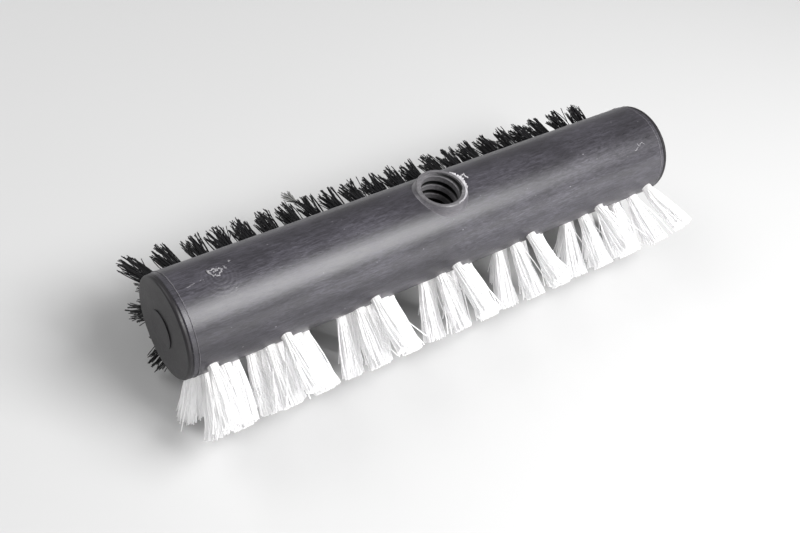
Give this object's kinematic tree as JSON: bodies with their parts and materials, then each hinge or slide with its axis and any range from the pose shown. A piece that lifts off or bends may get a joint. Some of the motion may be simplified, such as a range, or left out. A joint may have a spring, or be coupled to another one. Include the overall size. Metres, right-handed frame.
{
  "type": "double-sided tube scrub head",
  "caption": "Hand scrub head: a capped plastic tube with a threaded handle socket, soft white tufts on one side and stiff black tufts on the other.",
  "frame": {"origin": "on the tube's axis, where the axis of the handle socket crosses it", "axes": "+X along the tube to its right end, +Z along the handle socket's axis out of its mouth, white tufts towards -Y and black tufts towards +Y"},
  "size_m": [0.2486, 0.0869, 0.0674],
  "materials": {
    "tube": "satin moulded charcoal plastic with a faint brushed grain",
    "cap": "smooth satin charcoal plastic",
    "socket": "satin charcoal plastic with a cut edge",
    "white_bristle": "fine white synthetic filament",
    "black_bristle": "coarse glossy black synthetic filament",
    "anchor_wire": "flat drawn wire"
  },
  "bodies": {
    "root": {"tube_body": "tube", "end_cap_left": "cap", "end_cap_right": "cap", "handle_socket": "socket", "white_tufts_row_1": "white_bristle", "white_tufts_row_2": "white_bristle", "white_tufts_row_3": "white_bristle", "white_tufts_row_4": "white_bristle", "white_tufts_row_5": "white_bristle", "black_tufts_row_1": "black_bristle", "black_tufts_row_2": "black_bristle", "black_tufts_row_3": "black_bristle", "black_tufts_row_4": "black_bristle", "black_tufts_row_5": "black_bristle", "white_anchors_row_1": "anchor_wire", "white_anchors_row_2": "anchor_wire", "white_anchors_row_3": "anchor_wire", "white_anchors_row_4": "anchor_wire", "white_anchors_row_5": "anchor_wire", "black_anchors_row_1": "anchor_wire", "black_anchors_row_2": "anchor_wire", "black_anchors_row_3": "anchor_wire", "black_anchors_row_4": "anchor_wire", "black_anchors_row_5": "anchor_wire"}
  },
  "joints": []
}
